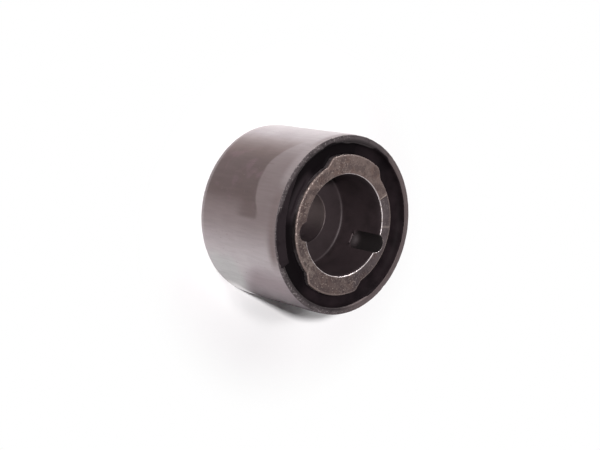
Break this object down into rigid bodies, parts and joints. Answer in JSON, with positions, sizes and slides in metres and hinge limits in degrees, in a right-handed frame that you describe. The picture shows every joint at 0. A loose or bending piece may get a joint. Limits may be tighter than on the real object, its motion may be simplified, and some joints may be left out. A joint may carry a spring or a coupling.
{
  "type": "rubber metal bush",
  "caption": "Round bush: a steel outer sleeve and a lobed steel core bonded together by rubber; the core has a counterbore with key grooves and a through bolt hole.",
  "frame": {"origin": "on the bush's axis, in the plane of its rear end, on which it stands", "axes": "+Z along the bush's axis towards the counterbored front end; +Y along the core's two lobes, with the two key grooves on the -Y side of the X axis; +X completes the right-handed frame"},
  "size_m": [0.06, 0.06, 0.039],
  "materials": {
    "sleeve_steel": "drawn steel tube, thinly phosphated and oiled, satin",
    "moulded_rubber": "black moulded rubber, matt",
    "core_steel": "grit-blasted forged steel, coarse grain"
  },
  "bodies": {
    "root": {"outer_sleeve": "sleeve_steel", "rubber_body": "moulded_rubber", "inner_core": "core_steel"}
  },
  "joints": []
}
